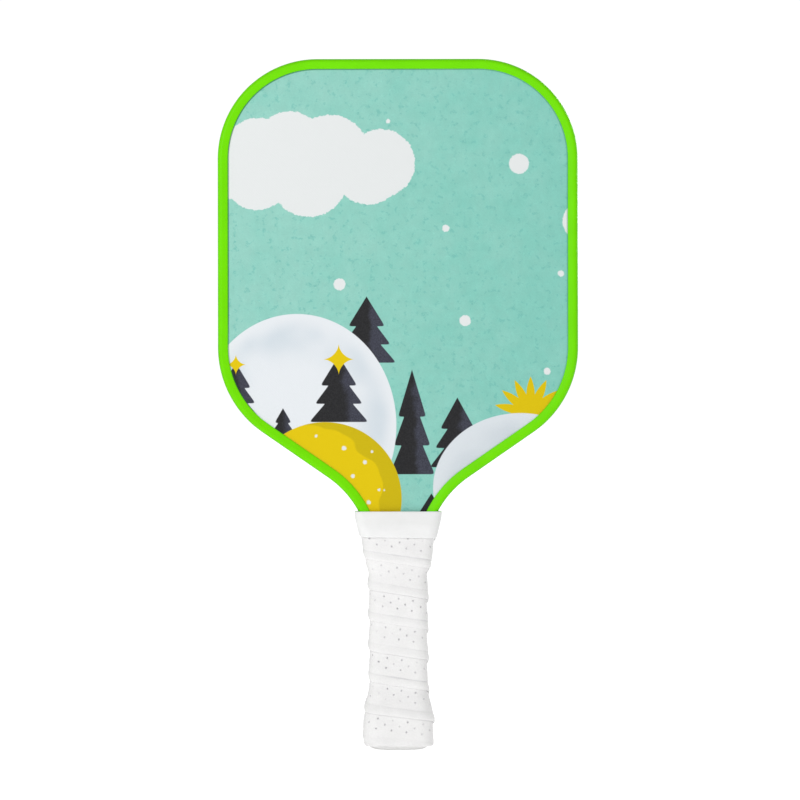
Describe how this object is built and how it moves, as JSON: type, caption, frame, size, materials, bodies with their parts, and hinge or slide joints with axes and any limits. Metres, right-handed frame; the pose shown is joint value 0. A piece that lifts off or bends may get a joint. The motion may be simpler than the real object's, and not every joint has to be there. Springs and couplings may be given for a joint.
{
  "type": "pickleball paddle",
  "caption": "Flat-faced paddle with a printed honeycomb panel, a bumper round its edge and a wrapped cushion grip, for striking a light ball.",
  "frame": {"origin": "middle of the butt's flat end", "axes": "+Z from the butt along the handle to the top of the head, -Y out of the front face, +X to the right seen from the front"},
  "size_m": [0.207, 0.0338, 0.3965],
  "materials": {
    "core": "matte translucent honeycomb",
    "adhesive": "cured glue film",
    "face_sheet": "resin over glass cloth",
    "front_print": "satin printed film, mint with flecks",
    "back_print": "satin printed film, mint with flecks",
    "edge_guard": "satin lime extruded elastomer",
    "bonding_tape": "double-sided tape",
    "pallet": "bare sanded wood",
    "butt_cap": "satin moulded plastic",
    "medallion": "smooth blank badge",
    "staple": "plated wire",
    "grip": "matte perforated cushion strip",
    "finishing_tape": "thin smooth tape",
    "collar": "smooth matte rubber"
  },
  "bodies": {
    "root": {"honeycomb_core": "core", "front_adhesive_film": "adhesive", "back_adhesive_film": "adhesive", "front_face_sheet": "face_sheet", "back_face_sheet": "face_sheet", "front_graphic_film": "front_print", "back_graphic_film": "back_print", "edge_guard": "edge_guard", "edge_guard_tape": "bonding_tape", "front_handle_pallet": "pallet", "back_handle_pallet": "pallet", "butt_cap": "butt_cap", "butt_cap_medallion": "medallion", "front_cap_staple": "staple", "back_cap_staple": "staple", "grip_adhesive_tape": "adhesive", "grip_tape": "grip", "grip_finishing_tape": "finishing_tape", "grip_collar": "collar"}
  },
  "joints": []
}
